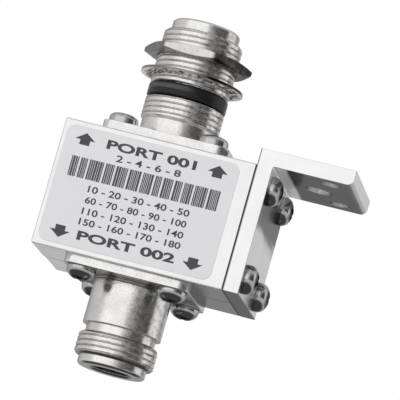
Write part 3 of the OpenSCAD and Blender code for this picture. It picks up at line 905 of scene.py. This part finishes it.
# The nut's side shade is a painted shade on its flats towards -X and +X
nut_steel = polished_steel("nut_plate", light=0.76, dark=0.61, smooth=0.12, rough=0.24, warmth=0.05,
                           side_shade=(0.6, 0.98), edge_tint=0.7)
# The washer's side shade and rim shade are painted shade
washer_steel = polished_steel("washer_plate", light=0.90, dark=0.74, smooth=0.10, rough=0.22, warmth=0.03,
                              side_shade=(0.0, 0.35), rim_shade=0.7, grain=0.02)
rubber = seal_rubber()
ptfe = moulded("white_insulator", (0.86, 0.86, 0.84, 1), (0.78, 0.78, 0.75, 1), 0.45, 0.2, 0.006)
ceramic = moulded("tube_ceramic", (0.82, 0.80, 0.74, 1), (0.74, 0.72, 0.66, 1), 0.35, 0.15, 0.004)
film = label_film()
ink = print_ink()
gold = coloured_metal("contact_gold", (0.90, 0.66, 0.30, 1), (0.80, 0.55, 0.22, 1), 0.14, 0.28)
brass = coloured_metal("plate_brass", (0.80, 0.62, 0.30, 1), (0.66, 0.48, 0.22, 1), 0.2, 0.4)
bronze = coloured_metal("spring_bronze", (0.72, 0.46, 0.28, 1), (0.58, 0.34, 0.2, 1), 0.2, 0.38)

# Pieces

add_piece(jack_mesh("antenna_jack_threaded", BODY_TOP, 1, ANTENNA_FLANGE_T, ANTENNA_STEPS),
          nickel, "root", "nickel", "antenna_jack")
add_piece(jack_mesh("equipment_jack_threaded", BODY_BASE, -1, EQUIPMENT_FLANGE_T, EQUIPMENT_STEPS),
          nickel, "root", "nickel", "equipment_jack")
add_piece(nut_mesh(), nut_steel, "nut", "nut", "bulkhead_nut")
add_piece(washer_mesh(), washer_steel, "washer", "washer", "lock_washer")
add_piece(seal_mesh(), rubber, "root", "seal", "seal_ring")
flange_corners = corner_places(FLANGE_PITCH, FLANGE_PITCH)
add_piece(screws_mesh("antenna_screws_cross", [np.array((x, y, ANTENNA_SEAT)) for x, y in flange_corners],
                      (0, 0, 1), ANTENNA_FLANGE_T + FLANGE_SCREW_DEPTH, FLAT_HEAD, ANTENNA_TURNS),
          screw_steel, "root", "screws", "antenna_flange_screws")
add_piece(screws_mesh("equipment_screws_cross", [np.array((x, y, EQUIPMENT_SEAT)) for x, y in flange_corners],
                      (0, 0, -1), EQUIPMENT_FLANGE_T + FLANGE_SCREW_DEPTH, ROUND_HEAD, EQUIPMENT_TURNS),
          screw_steel, "root", "screws", "equipment_flange_screws")
bracket_corners = corner_places(BRACKET_PITCH_Y, BRACKET_PITCH_Z)
add_piece(screws_mesh("bracket_screws_cross",
                      [np.array((BRACKET_FACE, y, BODY_MID + z)) for y, z in bracket_corners],
                      (1, 0, 0), BRACKET_T + BRACKET_SCREW_DEPTH, ROUND_HEAD, BRACKET_TURNS),
          screw_steel, "root", "screws", "bracket_screws")
add_piece(softened_copy("bracket_softened", "bracket", BRACKET_EDGE), bracket_metal, "root", "bracket", "bracket")
for half in ("front_housing", "rear_housing"):
    add_piece(softened_copy(half + "_softened", half, HOUSING_EDGE), housing_metal, "root", "housing", half)
add_piece(print_mesh(), ink, "root", "label")

# Finishes of the nodes that are shown as they are in the frame
CARRIED = {
    "label": film,
    "antenna_insulator": ptfe, "equipment_insulator": ptfe, "plate_spacer": ptfe,
    "antenna_contact": gold, "equipment_contact": gold,
    "antenna_plate": brass, "equipment_plate": brass,
    "gas_tube": ceramic, "gas_tube_caps": screw_steel, "tube_spring": bronze,
}
for node, material in CARRIED.items():
    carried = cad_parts[node].data.materials
    carried.clear()
    carried.append(material)

# Stage, light and camera. Lamps are in watts and metres.

FLOOR_DROP = 0.05
FLOOR_R = 600
FLOOR_FADE = (160, 260)
RIM_OPENING = (9, 10.8)
AROUND_FLOOR = 96
AMBIENT = 0.57
# Brightness that metal sees at each bearing about Z, in degrees from the front towards the bracket
STUDIO = [(-180, 0.62), (-150, 0.54), (-70, 0.65), (-54, 1.02), (6, 1.02), (14, 0.74), (26, 0.36), (50, 0.1),
          (87, 0.08), (95, 0.82), (124, 0.82), (136, 0.4), (152, 0.45), (160, 0.98), (176, 0.98), (180, 0.62)]
# Brightness above, below the horizon and underneath, and the rises or drops between which each sets in
OVERHEAD, OVERHEAD_RISE = 0.55, (0.35, 0.9)
BELOW, BELOW_DROP = 0.6, (0.0, 0.05)
UNDERNEATH, UNDERNEATH_DROP = 0.07, (0.3, 0.6)
KEY_POWER = 5.7
KEY_SIZE = 0.7
KEY_PLACE = (-0.45, -0.75, 0.65)
FILL_POWER = 1.2
FILL_SIZE = 0.6
FILL_PLACE = (0.8, -0.5, 0.3)
CAMERA_BEARING = math.radians(10.38)
CAMERA_RISE = math.radians(-9.62)
CAMERA_ROLL = math.radians(-15.69)
CAMERA_DISTANCE = 805.0
CAMERA_AIM = (7.86, 0, 37.17)
CAMERA_ANGLE = math.radians(5.55)


def studio_world():
    """White to the camera, a studio of bright and dark panels to metal, and an even light to everything else."""
    world = bpy.data.worlds.new("studio")
    scene.world = world
    world.cycles.sampling_method = "NONE"
    tree = Tree(world)
    path = tree.node("LightPath", {}, {})
    camera, glossy, through = path[0], path[3], path[6]
    x, y, z = tree.node("SeparateXYZ", {}, {0: tree.node("TexCoord", {}, {})[0]})
    bearing = x.math("ARCTAN2", x, 0 - y) / TURN + 0.5
    stops = [(degrees / 360 + 0.5, level) for degrees, level in STUDIO]
    panels = tree.node("ValToRGB", {"stops": stops}, {0: bearing})[0]
    level = tree.node("RGBToBW", {}, {0: panels})[0]
    overhead = z.step(*OVERHEAD_RISE)
    level = level * (1 - overhead) + OVERHEAD * overhead
    below = (0 - z).step(*BELOW_DROP)
    underneath = (0 - z).step(*UNDERNEATH_DROP)
    level = level * (1 - below) + (BELOW + (UNDERNEATH - BELOW) * underneath) * below
    plain = camera.math("MAXIMUM", camera, through)
    seen = glossy * level + (1 - glossy) * AMBIENT
    strength = plain + (1 - plain) * seen
    light = tree.node("Background", {}, {"Color": (1, 1, 1, 1), "Strength": strength})[0]
    tree.node("OutputWorld", {}, {"Surface": light})


def floor_piece():
    """Pale round floor under the rim. It can be seen through from below, lets light up into the socket, and fades
    out towards its edge."""
    turn = around(AROUND_FLOOR)[None, :]
    edge = revolve(np.array([[FLOOR_R]]), np.array([[-FLOOR_DROP]]), turn)[0] * MM
    mesh = bpy.data.meshes.new("floor")
    mesh.from_pydata(edge, [], [tuple(range(AROUND_FLOOR))])
    material, tree = new_material("floor_paper")
    distance = tree.from_axis()
    from_below = tree.node("NewGeometry", {}, {})[6]
    path = tree.node("LightPath", {}, {})
    camera, mirrored = path[0], path[3]
    opening = (1 - distance.past(*RIM_OPENING)) * (1 - camera)
    gone = distance.past(*FLOOR_FADE) + opening
    clear = gone.math("MAXIMUM", gone.math("MAXIMUM", from_below, gone), mirrored)
    paper = tree.node("BsdfDiffuse", {}, {"Color": grey(0.82)})[0]
    glass = tree.node("BsdfTransparent", {}, {})[0]
    shown = tree.node("MixShader", {}, {0: clear, 1: paper, 2: glass})[0]
    tree.node("OutputMaterial", {}, {"Surface": shown})
    mesh.materials.append(material)
    made = bpy.data.objects.new("floor", mesh)
    scene.collection.objects.link(made)


def soft_lamp(name, power, size, place):
    """Square lamp that points at the part and stays out of the metal's reflections."""
    lamp = bpy.data.lights.new(name, "AREA")
    lamp.energy = power
    lamp.size = size
    made = bpy.data.objects.new(name, lamp)
    made.location = place
    towards = Vector((0, 0, BODY_MID * MM)) - made.location
    made.rotation_euler = towards.to_track_quat("-Z", "Y").to_euler()
    made.visible_glossy = False
    scene.collection.objects.link(made)


def place_camera():
    """Camera low in front of the label and a little to its right, rolled so that the part leans right."""
    data = bpy.data.cameras.new("camera")
    data.sensor_width = 36
    data.lens = data.sensor_width / 2 / math.tan(CAMERA_ANGLE / 2)
    data.clip_start, data.clip_end = 0.05, 20
    made = bpy.data.objects.new("camera", data)
    back = Vector((math.sin(CAMERA_BEARING) * math.cos(CAMERA_RISE),
                   -math.cos(CAMERA_BEARING) * math.cos(CAMERA_RISE), math.sin(CAMERA_RISE)))
    level_right = Vector((0, 0, 1)).cross(back).normalized()
    level_up = back.cross(level_right)
    up = level_up * math.cos(CAMERA_ROLL) + level_right * math.sin(CAMERA_ROLL)
    right = up.cross(back)
    place = (Vector(CAMERA_AIM) + back * CAMERA_DISTANCE) * MM
    made.matrix_world = Matrix.Translation(place) @ Matrix((right, up, back)).transposed().to_4x4()
    scene.collection.objects.link(made)
    scene.camera = made


studio_world()
floor_piece()
soft_lamp("key", KEY_POWER, KEY_SIZE, KEY_PLACE)
soft_lamp("fill", FILL_POWER, FILL_SIZE, FILL_PLACE)
place_camera()
scene.view_settings.view_transform = "Standard"
